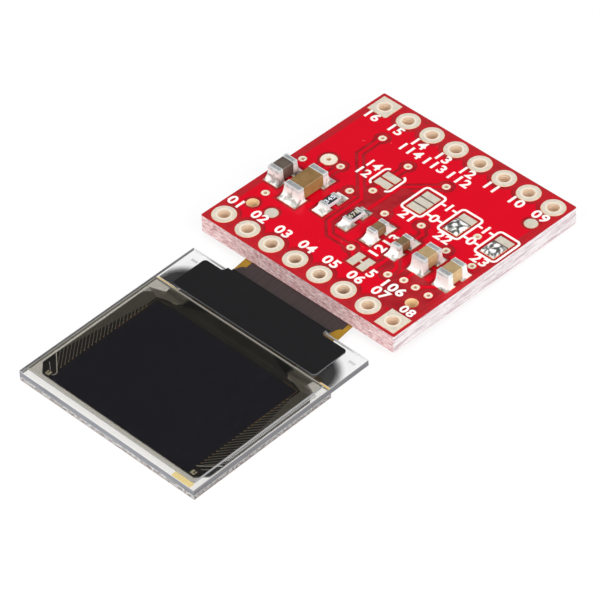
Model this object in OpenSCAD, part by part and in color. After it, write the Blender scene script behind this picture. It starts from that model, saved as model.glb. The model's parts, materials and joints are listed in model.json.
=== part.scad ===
// Small OLED module: a square breakout board carried at its near edge by the
// flexible film of a glass display panel that lies flat beside it.
// Millimetres, +X along the pin rows, +Y from the panel to the board, +Z up.
// The origin is on the table, under the middle of the whole module.

/* [Board] */
// Spacing of the header holes, and the grid that the board is laid out on
hole_spacing = 2.54; // [2.5:0.01:2.6]
// Distance between the two header rows
row_spacing = 17.78; // [17.4:0.01:18.4]
// From the outer header holes to the board's edges
edge_margin = 1.27; // [1.2:0.01:1.6]
// Radius of the board's corners
board_corner_r = 0.15; // [0.05:0.05:0.5]
// Thickness of the fibreglass core
core_t = 1.5; // [0.8:0.1:2]
// Thickness of each copper layer
copper_t = 0.035; // [0.02:0.005:0.07]
// Thickness of each solder mask layer
mask_t = 0.02; // [0.01:0.005:0.04]
// From the board's edge to the copper pour
pour_margin = 0.5; // [0.3:0.05:0.6]
// Height of the board's near edge above the table
board_lift = 0.71; // [0.6:0.01:1.2]

/* [Holes and pads] */
// Radius inside a plated header hole
header_r = 0.5; // [0.4:0.01:0.55]
// Radius of a header pad, and half the side of the square first pads
header_pad_r = 0.96; // [0.8:0.01:1]
// Clearance in the pour around a header pad
header_clearance = 0.42; // [0.3:0.01:0.5]
// Thickness of the plating on the wall of a hole
plating_t = 0.04; // [0.02:0.01:0.06]
// Radius inside a via
via_r = 0.15; // [0.1:0.01:0.18]
// Radius of a via's pad
via_pad_r = 0.32; // [0.26:0.01:0.36]
// Radius inside the test point's hole
test_r = 0.2; // [0.15:0.01:0.3]
// Radius of the test point's pad
test_pad_r = 0.66; // [0.5:0.01:0.75]
// Radius of a bare locating hole
locating_r = 0.48; // [0.4:0.01:0.55]
// Radius of a fiducial disc
fiducial_r = 0.52; // [0.4:0.01:0.6]
// Clearance in the pour around tracks and small pads
pad_clearance = 0.28; // [0.15:0.01:0.3]
// Clearance in the pour around a via
via_clearance = 0.42; // [0.3:0.01:0.45]
// Ring of covered copper around a via's bare pad
via_ring = 0.08; // [0.05:0.01:0.12]
// Margin of a solder mask opening around its pad
mask_margin = 0.04; // [0.02:0.01:0.06]
// Width of a signal track
track_w = 0.27; // [0.2:0.01:0.35]

/* [Solder jumpers] */
// Width of a jumper pad
jumper_pad_w = 1.38; // [1.2:0.01:1.5]
// Height of a jumper pad
jumper_pad_h = 0.67; // [0.5:0.01:0.7]
// Gap between the pads of a select jumper
jumper_gap = 0.15; // [0.1:0.01:0.2]
// Gap between the pads of the open jumper
open_gap = 0.24; // [0.15:0.01:0.3]
// Gap between the pads of the linked jumper
link_gap = 0.36; // [0.25:0.01:0.45]
// Width of the link between its pads
link_w = 0.15; // [0.1:0.01:0.3]
// Clearance in the pour around a jumper's pads
jumper_clearance = 0.2; // [0.12:0.01:0.22]
// Height of the solder on a closed jumper
bridge_h = 0.22; // [0.12:0.01:0.3]
// How far the solder's sides lean in, as a share of its width
bridge_lean = 0.28; // [0.1:0.01:0.35]
// Corner radius of the solder on a closed jumper
bridge_r = 0.12; // [0.05:0.01:0.15]
// Width of the printed lines
print_w = 0.2; // [0.12:0.01:0.24]
// Thickness of the printed lines
print_t = 0.015; // [0.01:0.005:0.03]
// From the outer pads to the middle of the printed box
print_margin = 0.36; // [0.3:0.01:0.4]
// Corner radius of the printed boxes
print_r = 0.32; // [0.2:0.01:0.5]
// Corner radius of the printed brackets
bracket_r = 0.42; // [0.2:0.01:0.5]
// From the open jumper's middle to the ends of its brackets
bracket_h = 1.11; // [0.9:0.01:1.2]
// Angle that each end of a bracket turns through
bracket_turn = 80; // [60:5:90]
// Length of the printed dashes between the boxes
dash_l = 0.5; // [0.3:0.01:0.65]

/* [Chip parts] */
// Place of the row of chip parts along Y, in hole spacings
parts_row = -0.985; // [-1.05:0.005:-0.95]
// Length, width and height of a size 0603 part
small_chip = [1.6, 0.84, 0.8];
// Length, width and height of a size 0805 part
medium_chip = [2.0, 1.22, 1.2];
// Length, width and height of the size 1206 capacitor
large_chip = [3.2, 1.6, 1.2];
// Height of a 0603 resistor
resistor_h = 0.45; // [0.35:0.01:0.6]
// Length of a resistor's end caps
resistor_end = 0.3; // [0.2:0.01:0.4]
// Thickness of the black coat on a resistor
resistor_coat_t = 0.03; // [0.02:0.01:0.05]
// Radius of the long edges of the chip parts
chip_edge_r = 0.06; // [0.02:0.01:0.1]
// How far a solder pad reaches past a 0603 part
small_toe = 0.65; // [0.4:0.01:0.75]
// How far a solder pad reaches past a 0805 part
medium_toe = 0.4; // [0.3:0.01:0.6]
// Width of a solder pad beyond its part, at each side
pad_side = 0.13; // [0.08:0.01:0.2]
// Thickness of a metal end cap
end_t = 0.03; // [0.02:0.01:0.05]
// Solder between a pad and its part
solder_bed = 0.03; // [0.02:0.01:0.05]
// How high the solder climbs, as a share of the part's height
solder_climb = 0.72; // [0.4:0.01:0.85]

/* [Glass panel] */
// Width of the glass along X
panel_w = 18.46; // [17:0.01:19]
// Length of the front glass along Y
panel_l = 18.1; // [17.6:0.01:19]
// Offset of the panel from the board's middle
panel_dx = 0.25; // [-0.5:0.05:0.5]
// Free film between the panel and the board
film_gap = 1.95; // [1.5:0.05:4]
// Thickness of the front glass
front_t = 0.55; // [0.4:0.05:0.7]
// Thickness of the rear cap glass
cap_t = 0.4; // [0.36:0.02:0.6]
// Length of the bare ledge beyond the cap glass
ledge_l = 4.0; // [3.8:0.05:4.3]
// Gap between the two glasses, filled by the seal
seal_t = 0.02; // [0.015:0.005:0.05]
// Thickness of the polarizer
polarizer_t = 0.16; // [0.1:0.01:0.25]
// Left and right sides of the polarizer from the glass's sides
polarizer_side = [0.39, 0.5];
// Near edge of the polarizer from the glass's near edge
polarizer_near = 0.55; // [0.4:0.01:0.7]
// Far edge of the polarizer from the cap's far edge
polarizer_far = 0.32; // [0.2:0.01:0.4]
// Hairline between the glass and the layers on it
hairline = 0.003; // [0.002:0.001:0.005]

/* [Inside the panel] */
// From the glass's sides to the getter's recess
recess_side = 0.36; // [0.3:0.01:0.5]
// From the near edge to the getter's recess
recess_near = 1.15; // [1:0.01:1.3]
// From the cap's far edge to the getter's recess
recess_far = 0.95; // [0.8:0.01:1.1]
// Corner cut of the recess
recess_cut = 0.86; // [0.6:0.01:1]
// Depth of the recess in the cap glass
recess_t = 0.2; // [0.1:0.01:0.25]
// Clearance around and above the getter sheet
getter_gap = 0.01; // [0.005:0.005:0.02]
// From the glass's edges to the seal
seal_inset = 0.06; // [0.02:0.01:0.1]
// Clearance between the seal and what it surrounds
seal_gap = 0.02; // [0.01:0.01:0.03]
// Length and width of the glue patch at the near edge
patch_size = [1.95, 0.5];
// Middle of the glue patch from the panel's near right corner
patch_place = [1.6, 0.46];
// Thickness of the layers on the front glass
layer_t = 0.006; // [0.004:0.001:0.008]
// Width of the active field
field_w = 14.75; // [14.2:0.05:14.9]
// Length of the active field
field_l = 11.25; // [10.8:0.05:11.4]
// Near edge of the active field from the glass's near edge
field_near = 1.2; // [1.16:0.01:1.3]
// Row tracks on each side of the field
row_tracks_n = 24; // [12:1:24]
// Spacing of the row tracks where they leave the field
row_track_spacing = 0.4; // [0.36:0.01:0.41]
// First row track from the near edge of the field
row_start = 0.9; // [0.6:0.05:1]
// Rise of a row track for each step outwards
row_slope = 1.2; // [1:0.05:1.3]
// From the recess's side to the outermost row track
bundle_side = 0.06; // [0.04:0.01:0.1]
// Spacing of the row tracks in the bundle beside the field
lane_spacing = 0.052; // [0.046:0.001:0.054]
// Step of the bundle inwards, beyond the field
bundle_step = 1.5; // [1.2:0.05:1.6]
// Spacing of the row tracks beyond that step
inner_spacing = 0.078; // [0.074:0.001:0.08]
// From the field to the start and the end of the outermost track's step inwards
step_y = [0.5, 1.05];
// How much nearer to the field the next track's step starts and ends
step_shift = [0.016, 0.01];
// Width of the tracks on the glass, where they run close together
lane_w = 0.026; // [0.02:0.001:0.028]
// Width of the row tracks where they fan out of the field
fan_w = 0.06; // [0.04:0.005:0.07]
// Column tracks at the far edge of the field
column_tracks_n = 64; // [32:1:64]
// Rise of a column track for each step inwards
column_slope = 0.38; // [0.34:0.01:0.42]
// From the outer column tracks to the ends of the driver chip and the sides of the field
column_inset = [0.2, 0.3];
// From the field to the first bend of the column tracks
column_bend = 0.08; // [0.04:0.01:0.12]
// From the tracks' ends to the edges of the driver chip
track_end = 0.04; // [0.03:0.01:0.06]
// Length and height of an alignment mark
mark_size = [0.42, 0.4];
// Width of an alignment mark's foot
mark_foot = 0.12; // [0.08:0.01:0.16]

/* [Driver chip and film] */
// Length of the driver chip
driver_l = 6.8; // [6:0.1:7.5]
// Width of the driver chip
driver_w = 0.9; // [0.7:0.05:1.2]
// Height of the driver chip
driver_h = 0.28; // [0.2:0.01:0.32]
// From the cap's far edge to the driver chip
driver_gap = 0.6; // [0.4:0.05:0.9]
// Width of the film
film_w = 11.3; // [10.8:0.05:12]
// Thickness of the amber base film
film_t = 0.05; // [0.03:0.005:0.08]
// Thickness of the dark cover layer on the film
cover_t = 0.03; // [0.02:0.005:0.04]
// Length of the bond between film and ledge
bond_l = 1.2; // [0.8:0.05:1.5]
// Thickness of the bond
bond_t = 0.02; // [0.01:0.005:0.03]
// From the glass's edge and the board's edge to the film's bends
bend_out = [0.3, 0.1];
// Margins of the amber film beside its cover, left and right, at the board
cover_side = [0.72, 0.4];
// Margin of the amber film at the right of its cover, at the ledge
cover_ledge = 0.95; // [0.8:0.01:1.1]
// Length over which the cover's sides sweep
cover_sweep = 1.3; // [1:0.05:1.6]
// From the ledge to the cover
cover_start = 0.04; // [0.02:0.01:0.1]
// Length of film under the board
tail_l = 4.2; // [4:0.05:4.3]
// From the film's sides to the bond
bond_side = 0.2; // [0.1:0.05:0.4]
// Soldered contacts at the film's end
contact_count = 24; // [16:1:25]
// Spacing of the contacts
contact_spacing = 0.42; // [0.4:0.01:0.44]
// Length of a contact
contact_l = 1.2; // [0.9:0.05:1.3]
// From the contacts to the cover layer
contact_gap = 0.1; // [0.05:0.01:0.2]
// Thickness of a contact on the film
contact_t = 0.015; // [0.01:0.005:0.018]

/* [Black tape] */
// Thickness of the tape
tape_t = 0.1; // [0.06:0.01:0.15]
// Left and right ends of the tape from the panel's middle
tape_x = [-7.57, 7.47];
// Near and far edges of the tape from the ledge's near end
tape_y = [0.07, 3.6];
// Corner radius of the tape
tape_r = 0.32; // [0.2:0.01:0.4]
// Left and right sides of the tape's neck from the panel's middle
neck_x = [-5.6, 4.75];
// Length of the neck beyond the ledge
neck_l = 0.62; // [0.55:0.01:0.9]
// From the ledge's edge to the tape's bend down
tape_over = 0.02; // [0.01:0.01:0.05]
// From the film's bend to where the tape lands on it
tape_landing = 0.06; // [0.03:0.01:0.1]

/* [Hidden] */
$fn = 48;

// Holes in each header row, which the board's layout is drawn for
header_count = 8;

// Heights on the board, from its underside
skin_t = copper_t + mask_t;
core_z = skin_t;
copper_z = core_z + core_t;
mask_z = copper_z + copper_t;
board_t = mask_z + mask_t;
wall = mask_t / 2;
// Thin layers that solder shapes are spanned between, and solder's least thickness
sliver = 0.001;
solder_skin = 0.008;
board_w = (header_count - 1) * hole_spacing + 2 * edge_margin;
board_l = row_spacing + 2 * edge_margin;
board_tilt = asin(board_lift / board_l);

// Places on the table
module_l = panel_l + film_gap + board_l * cos(board_tilt) + board_t * sin(board_tilt);
panel_y = -module_l / 2;
ledge_y = panel_y + panel_l;
board_y = ledge_y + film_gap;

// Heights on the panel
ledge_z = cap_t + seal_t;
panel_z = ledge_z + front_t;
layer_z = ledge_z - hairline - layer_t;
cap_l = panel_l - ledge_l;

// Places on the board, in hole spacings from its middle
SIGNAL_VIAS = [[-2.5, 2.35], [-1, 1.9], [0.5, 2], [-2.5, 0.5], [-1, 0.35], [-1.5, -0.14],
    [0, -0.18], [1.18, 0.17], [2.5, -0.16], [0.34, -1.99], [1.98, -2.12], [2.5, -1.98],
    [2.97, -1.98]];
POUR_VIAS = [[-3.6, -0.03], [3.53, -0.14], [2.75, 0.95], [-3.29, -1.95], [3.49, -1.98]];
VIAS = concat(SIGNAL_VIAS, POUR_VIAS);
TEST_POINT = [-3, 0.5];
LOCATING = [[-3.25, -2.53], [3.35, -2.54]];
FIDUCIALS = [[3.5, 2.5], [-2.5, -2.48]];
OPEN_JUMPER = [-1, 1];
LINKED_JUMPER = [1, -2.24];
SELECT_JUMPERS = [[0.5, 1], [2, 1], [3.5, 1]];
TRACKS = [
    [[-2.5, 2.35], [-2.5, 1.35], [-0.98, -0.16], [-0.98, -1.55], [-0.52, -2], [0.34, -1.99]],
    [[-1, 1.9], [-1, 1.1]],
    [[-1, 0.9], [-1, 0.35]],
    [[0.5, 2], [-0.5, 1.05], [-0.5, -0.55]],
    [[-3, 0.5], [-3, -0.1]],
    [[-2.5, 0.5], [-2.5, -0.1]],
    [[0.34, -1.99], [0.7, -2.24], [1, -2.24]],
    [[1.3, -2.24], [1.5, -2.24], [1.5, -1.62], [1.5, -1.3]],
    [[1.98, -2.12], [1.98, -1.75], [1.7, -1.45], [1.5, -1.45]],
    [[2.5, -1.98], [2.5, -1.45]],
    [[2.97, -1.98], [3.5, -1.45]],
    [[1.18, 0.17], [1.5, -0.1], [1.5, -0.5]],
    [[2.5, -0.16], [2.5, -0.6]]];
// Areas of the top with no copper
BARE_AREAS = [
    [[-0.35, 1.15], [0.05, 1.15], [0.05, 0.1], [0.3, -0.2], [0.3, -0.5], [-0.35, -0.5]],
    [[-1.4, 0.75], [-0.65, 0.75], [-0.65, -0.3], [-0.85, -0.3]],
    [[2.2, -1.55], [3.78, -1.55], [3.78, -3.2], [2.6, -3.2], [2.2, -2.6]],
    [[1.3, -1.6], [2, -1.6], [2, -2], [1.3, -2]]];

// Each chip part: column in the header, size, toe and length of the end caps
CAPACITORS = [
    [0, medium_chip, medium_toe, 0.44],
    [1, large_chip, small_toe, 0.54],
    [4, small_chip, small_toe, 0.36],
    [5, small_chip, small_toe, 0.36],
    [6, medium_chip, medium_toe, 0.48],
    [7, medium_chip, medium_toe, 0.48]];
resistor_chip = [small_chip.x, small_chip.y, resistor_h];
RESISTORS = [
    [2, resistor_chip, small_toe, resistor_end],
    [3, resistor_chip, small_toe, resistor_end]];
PARTS = concat(CAPACITORS, RESISTORS);

// ---- shapes used in many places ----

function unit(v) = v / norm(v);
function left(v) = [-v.y, v.x];

// Points of an arc about a middle
function arc(middle, r, from, to, steps = 6) =
    [for (i = [0 : steps]) middle + r * [cos(from + (to - from) * i / steps),
                                         sin(from + (to - from) * i / steps)]];

// Outline of a rounded rectangle between two corners
function rounded(low, high, r) = concat(
    arc([high.x - r, high.y - r], r, 0, 90),
    arc([low.x + r, high.y - r], r, 90, 180),
    arc([low.x + r, low.y + r], r, 180, 270),
    arc([high.x - r, low.y + r], r, 270, 360));

// Sideways step of length one at a line's point, mitred at its bends
function mitre(line, i) =
    let (a = max(i, 1),
         b = min(i, len(line) - 2),
         before = left(unit(line[a] - line[a - 1])),
         after = left(unit(line[b + 1] - line[b])),
         m = unit(before + after))
    m / (m * after);

// Outline of a band beside a line, between two sideways distances
function band(line, low, high) = concat(
    [for (i = [0 : len(line) - 1]) line[i] + mitre(line, i) * low],
    [for (i = [len(line) - 1 : -1 : 0]) line[i] + mitre(line, i) * high]);

module ribbon(line, width) polygon(band(line, -width / 2, width / 2));

module slab(z, thickness) translate([0, 0, z]) linear_extrude(thickness) children();

// A side view in Y and Z, drawn through from one x to another
module across(from, to)
    translate([from, 0, 0]) rotate([90, 0, 90]) linear_extrude(to - from) children();

// ---- the board ----

// Board places: x and y from its middle, z from its underside
module on_board()
    translate([0, board_y, board_lift]) rotate([-board_tilt, 0, 0])
        translate([0, board_l / 2, 0]) children();

// A point at a distance from the board's near edge and a height from its underside
function board_point(along, up) = [
    board_y + along * cos(board_tilt) + up * sin(board_tilt),
    board_lift - along * sin(board_tilt) + up * cos(board_tilt)];

function header_x(i) = (i - (header_count - 1) / 2) * hole_spacing;

module each_header() for (i = [0 : header_count - 1], s = [-1, 1])
    translate([header_x(i), s * row_spacing / 2]) children();

module each_round_header() for (i = [0 : header_count - 2], s = [-1, 1])
    translate([-s * header_x(i), s * row_spacing / 2]) children();

// The first pad of each row is square
module each_square_header() for (s = [-1, 1])
    translate([s * header_x(0), s * row_spacing / 2]) children();

module header_pad_shape(grow) {
    each_round_header() circle(r = header_pad_r + grow);
    each_square_header() square(2 * (header_pad_r + grow), center = true);
}

module at_grid(places) for (p = places) translate(p * hole_spacing) children();

module board_outline() polygon(rounded(
    [-board_w / 2, -board_l / 2], [board_w / 2, board_l / 2], board_corner_r));

module select_pads(grow, rows = [-1, 0, 1]) at_grid(SELECT_JUMPERS)
    for (k = rows) translate([0, k * (jumper_pad_h + jumper_gap)])
        square([jumper_pad_w + 2 * grow, jumper_pad_h + 2 * grow], center = true);

module open_pads(grow) at_grid([OPEN_JUMPER])
    for (s = [-1, 1]) translate([0, s * (jumper_pad_h + open_gap) / 2])
        square([jumper_pad_w + 2 * grow, jumper_pad_h + 2 * grow], center = true);

// Two pads joined by a narrow link
module linked_pads(grow) at_grid([LINKED_JUMPER]) {
    for (s = [-1, 1]) translate([s * (jumper_pad_h + link_gap) / 2, 0])
        square([jumper_pad_h + 2 * grow, jumper_pad_w + 2 * grow], center = true);
    square([jumper_pad_h + link_gap, link_w + 2 * grow], center = true);
}

module jumper_shape(grow) {
    select_pads(grow);
    open_pads(grow);
    linked_pads(grow);
}

// Solder pads of one part, with its middle at the origin and its length along Y
module part_pads(part, grow) {
    size = part[1];
    pad_l = part[2] + part[3] + pad_side;
    for (s = [-1, 1]) translate([0, s * (size.x / 2 + part[2] - pad_l / 2)])
        square([size.y + 2 * (pad_side + grow), pad_l + 2 * grow], center = true);
}

module at_part(part) translate([header_x(part[0]), parts_row * hole_spacing]) children();

module part_pads_shape(grow) for (part = PARTS) at_part(part) part_pads(part, grow);

// Everything in the top copper that isn't pour, widened by grow
module top_clearances(grow) {
    each_header() circle(r = header_pad_r + header_clearance + grow);
    at_grid(SIGNAL_VIAS) circle(r = via_pad_r + via_clearance + grow);
    at_grid([TEST_POINT]) circle(r = test_pad_r + pad_clearance + grow);
    at_grid(LOCATING) circle(r = locating_r + pad_clearance + grow);
    at_grid(FIDUCIALS) circle(r = fiducial_r + pad_clearance + grow);
    for (track = TRACKS) ribbon(track * hole_spacing, track_w + 2 * (pad_clearance + grow));
    for (area = BARE_AREAS) polygon(area * hole_spacing);
    select_pads(jumper_clearance + grow);
    open_pads(jumper_clearance + grow);
    linked_pads(pad_clearance + grow);
    part_pads_shape(pad_clearance + grow);
}

// Copper that stays inside the clearances, widened by grow, without the exposed pads
module top_islands(grow) {
    at_grid(VIAS) circle(r = via_pad_r + via_ring + grow);
    for (track = TRACKS) ribbon(track * hole_spacing, track_w + 2 * grow);
}

module holes(header, via, test, locating) {
    each_header() circle(r = header);
    at_grid(VIAS) circle(r = via);
    at_grid([TEST_POINT]) circle(r = test);
    at_grid(LOCATING) circle(r = locating);
}

// Exposed metal on the top, widened by grow
module top_exposed(grow) {
    header_pad_shape(grow);
    at_grid(VIAS) circle(r = via_pad_r + grow);
    at_grid([TEST_POINT]) circle(r = test_pad_r + grow);
    at_grid(LOCATING) circle(r = locating_r + grow);
    at_grid(FIDUCIALS) circle(r = fiducial_r + grow);
    jumper_shape(grow);
    part_pads_shape(grow);
}

// Copper pour and tracks on the top, widened by grow
module top_copper_shape(grow) {
    difference() {
        square([board_w - 2 * pour_margin + 2 * grow, board_l - 2 * pour_margin + 2 * grow],
               center = true);
        top_clearances(-grow);
    }
    top_islands(grow);
}

module laminate_core() color("tan") on_board() slab(core_z, core_t) difference() {
    board_outline();
    holes(header_r + plating_t, via_r + plating_t, test_r + plating_t, locating_r);
}

module copper_top_solid() slab(copper_z, copper_t) difference() {
    top_copper_shape(0);
    top_exposed(mask_margin);
}

module copper_top() color("darkorange") on_board() copper_top_solid();

// The mask follows the copper: low on the core, raised over the pour and tracks
module mask_top() color("crimson") on_board() difference() {
    union() {
        slab(copper_z, mask_t) board_outline();
        slab(copper_z, copper_t + mask_t) top_copper_shape(wall);
    }
    slab(copper_z - mask_t, board_t) top_exposed(mask_margin);
    copper_top_solid();
}

// Pads for the film's contacts, in a row under the board
contact_x0 = panel_dx - (contact_count - 1) * contact_spacing / 2;
contact_y = -board_l / 2 + tail_l - contact_l / 2;

module each_contact() for (i = [0 : contact_count - 1])
    translate([contact_x0 + i * contact_spacing, contact_y]) children();

module contact_shape(grow) each_contact()
    square([contact_spacing / 2 + 2 * grow, contact_l + 2 * grow], center = true);

module contact_window(grow) translate([panel_dx, contact_y])
    square([contact_count * contact_spacing + 2 * grow, contact_l + 2 * grow], center = true);

module bottom_exposed(grow) {
    header_pad_shape(grow);
    at_grid(VIAS) circle(r = via_pad_r + grow);
    at_grid([TEST_POINT]) circle(r = test_pad_r + grow);
    at_grid(LOCATING) circle(r = locating_r + grow);
    contact_window(grow);
}

module bottom_copper_shape(grow) difference() {
    square([board_w - 2 * pour_margin + 2 * grow, board_l - 2 * pour_margin + 2 * grow],
           center = true);
    each_header() circle(r = header_pad_r + header_clearance - grow);
    at_grid(SIGNAL_VIAS) circle(r = via_pad_r + via_clearance - grow);
    at_grid([TEST_POINT]) circle(r = test_pad_r + pad_clearance - grow);
    at_grid(LOCATING) circle(r = locating_r + pad_clearance - grow);
    contact_window(pad_clearance - grow);
}

module copper_bottom_solid() slab(mask_t, copper_t) difference() {
    bottom_copper_shape(0);
    bottom_exposed(mask_margin);
}

module copper_bottom() color("darkorange") on_board() copper_bottom_solid();

module mask_bottom() color("crimson") on_board() difference() {
    union() {
        slab(copper_t, mask_t) board_outline();
        slab(0, copper_t + mask_t) bottom_copper_shape(wall);
    }
    slab(-mask_t, board_t) bottom_exposed(mask_margin);
    copper_bottom_solid();
}

// A plated hole through the board with a pad on each face
module plated_hole(r) difference() {
    union() {
        children();
        slab(core_z, core_t) circle(r = r + plating_t);
    }
    slab(-skin_t, board_t + 2 * skin_t) circle(r = r);
}

module pad_pair() {
    slab(0, skin_t) children();
    slab(copper_z, skin_t) children();
}

module header_pads() color("wheat") on_board() {
    each_round_header() plated_hole(header_r) pad_pair() circle(r = header_pad_r);
    each_square_header() plated_hole(header_r) pad_pair()
        square(2 * header_pad_r, center = true);
}

module vias() color("wheat") on_board() at_grid(VIAS)
    plated_hole(via_r) pad_pair() circle(r = via_pad_r);

module test_point() color("wheat") on_board() at_grid([TEST_POINT])
    plated_hole(test_r) pad_pair() circle(r = test_pad_r);

module fiducials() color("silver") on_board() slab(copper_z, skin_t)
    at_grid(FIDUCIALS) circle(r = fiducial_r);

module jumper_pads() color("wheat") on_board() slab(copper_z, skin_t) jumper_shape(0);

module chip_pads() color("silver") on_board() slab(copper_z, skin_t) part_pads_shape(0);

// A pillow of solder over a rectangle, thick in the middle and thin at its edge
module pillow(size, height, steps = 6) for (k = [0 : steps - 1]) hull()
    for (j = [k, k + 1]) {
        lean = bridge_lean * min(size.x, size.y) * (1 - cos(90 * j / steps));
        slab(height * sin(90 * j / steps), sliver)
            polygon(rounded([lean, lean] - size / 2, size / 2 - [lean, lean], bridge_r));
    }

bridge_l = 2 * jumper_pad_h + jumper_gap;

// Solder closes the lower two pads of the last two jumpers
module solder_bridges() color("lightgray") on_board()
    at_grid([SELECT_JUMPERS[1], SELECT_JUMPERS[2]])
        translate([0, -(jumper_pad_h + jumper_gap) / 2, board_t])
            pillow([jumper_pad_w, bridge_l], bridge_h);

// ---- print ----

half_line = [print_w, print_w] / 2;
select_half = [jumper_pad_w / 2 + print_margin,
               1.5 * jumper_pad_h + jumper_gap + print_margin];

module print_box(half) difference() {
    polygon(rounded(-half - half_line, half + half_line, print_r + print_w / 2));
    polygon(rounded(half_line - half, half - half_line, print_r - print_w / 2));
}

// One round bracket beside the open jumper
module print_bracket() {
    middle = [select_half.x - bracket_r, bracket_h - bracket_r];
    ribbon(concat(arc(middle, bracket_r, bracket_turn, 0),
                  arc([middle.x, -middle.y], bracket_r, 0, -bracket_turn)), print_w);
}

module print_dash(side)
    for (s = [-1, 1])
        translate([side * (select_half.x + dash_l / 2), s * (jumper_pad_h + jumper_gap)])
            square([dash_l, print_w], center = true);

module print_lines() color("white") on_board() slab(board_t, print_t) {
    at_grid(SELECT_JUMPERS) print_box(select_half);
    at_grid([OPEN_JUMPER]) {
        print_bracket();
        mirror([1, 0]) print_bracket();
    }
    for (i = [0, 1]) translate(SELECT_JUMPERS[i] * hole_spacing) print_dash(1);
    for (i = [1, 2]) translate(SELECT_JUMPERS[i] * hole_spacing) print_dash(-1);
}

// ---- chip parts ----

part_z = board_t + solder_bed;

// A block with softened edges along its length
module chip_block(length, width, height, z) translate([0, length / 2, z]) rotate([90, 0, 0])
    linear_extrude(length) polygon(rounded([-width / 2, 0], [width / 2, height], chip_edge_r));

module place_part(part) on_board() at_part(part) children();

module chip_body(part) {
    size = part[1];
    chip_block(size.x - 2 * end_t, size.y - 2 * end_t, size.z - 2 * end_t, part_z + end_t);
}

// Metal caps over both ends, open at their inner faces
module chip_ends(part) {
    size = part[1];
    difference() {
        chip_block(size.x, size.y, size.z, part_z);
        chip_body(part);
        cube([2 * size.y, size.x - 2 * part[3], 4 * size.z + 2 * part_z], center = true);
    }
}

// Solder beside one end, curving up from the pad to the metal
module fillet(part) {
    size = part[1];
    steps = 5;
    rise = solder_climb * size.z + solder_bed;
    for (k = [0 : steps - 1]) hull() for (j = [k, k + 1]) {
        out = 1 - sin(90 * j / steps);
        half_w = size.y / 2 + solder_skin + (pad_side - solder_skin) * out;
        reach = part[3] + solder_skin + (part[2] - solder_skin) * out;
        slab(board_t + rise * (1 - cos(90 * j / steps)), sliver)
            translate([-half_w, size.x / 2 - part[3]]) square([2 * half_w, reach]);
    }
}

module part_solder(part) difference() {
    for (s = [0, 1]) mirror([0, s]) fillet(part);
    chip_block(part[1].x, part[1].y, part[1].z, part_z);
}

module capacitor(i, shade) color(shade) place_part(CAPACITORS[i]) chip_body(CAPACITORS[i]);
module capacitor_ends(i) color("silver") place_part(CAPACITORS[i]) chip_ends(CAPACITORS[i]);
module resistor(i) color("white") place_part(RESISTORS[i]) chip_body(RESISTORS[i]);
module resistor_ends(i) color("silver") place_part(RESISTORS[i]) chip_ends(RESISTORS[i]);
module solder(i) color("gainsboro") place_part(PARTS[i]) part_solder(PARTS[i]);

// Black coat on a resistor's top, between its end caps
module resistor_coat(i) color("black") place_part(RESISTORS[i])
    translate([0, 0, part_z + resistor_h - end_t + resistor_coat_t / 2])
        cube([small_chip.y - 4 * end_t, small_chip.x - 2 * resistor_end - end_t,
              resistor_coat_t], center = true);

// ---- the glass panel ----

// Panel places: x from its middle, y from its near edge, z from the table
module on_panel() translate([panel_dx, panel_y, 0]) children();

module sheet(x, y0, y1) translate([-x, y0]) square([2 * x, y1 - y0]);

module front_glass() color("lightcyan", 0.4) on_panel()
    slab(ledge_z, front_t) sheet(panel_w / 2, 0, panel_l);

module polarizer() color("dimgray", 0.6) on_panel() slab(panel_z + hairline, polarizer_t)
    translate([polarizer_side[0] - panel_w / 2, polarizer_near])
        square([panel_w - polarizer_side[0] - polarizer_side[1],
                cap_l - polarizer_far - polarizer_near]);

// The recess in the cap glass, a rectangle with cut corners
module recess_shape(shrink) {
    x = panel_w / 2 - recess_side - shrink;
    y0 = recess_near + shrink;
    y1 = cap_l - recess_far - shrink;
    c = recess_cut;
    polygon([[-x + c, y0], [x - c, y0], [x, y0 + c], [x, y1 - c],
             [x - c, y1], [-x + c, y1], [-x, y1 - c], [-x, y0 + c]]);
}

module cap_glass() color("lightcyan", 0.4) on_panel() difference() {
    slab(0, cap_t) sheet(panel_w / 2, 0, cap_l);
    slab(cap_t - recess_t, 2 * recess_t) recess_shape(0);
}

module getter_sheet() color([0.1, 0.1, 0.11]) on_panel()
    slab(cap_t - recess_t + getter_gap, recess_t - 2 * getter_gap) recess_shape(getter_gap);

// A layer that fills the gap between the two glasses, below the tracks
module glue_layer() on_panel() slab(cap_t + hairline, layer_z - cap_t - 2 * hairline) children();

// Clear glue around the recess
module edge_seal() color("khaki", 0.5) glue_layer() difference() {
    sheet(panel_w / 2 - seal_inset, seal_inset, cap_l - seal_gap);
    recess_shape(-seal_gap);
    edge_patch_shape(seal_gap);
}

// A small amber patch of glue at the near edge
module edge_patch_shape(grow) translate([panel_w / 2 - patch_place.x, patch_place.y])
    square(patch_size + 2 * [grow, grow], center = true);

module edge_patch() color("goldenrod", 0.6) glue_layer() edge_patch_shape(0);

field_far = field_near + field_l;

module active_field() color([0.07, 0.07, 0.1]) on_panel() slab(layer_z, layer_t)
    sheet(field_w / 2, field_near, field_far);

driver_y = cap_l + driver_gap;
bundle_x = panel_w / 2 - recess_side - bundle_side;
landing_spacing = (driver_w - track_end) / row_tracks_n;

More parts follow.
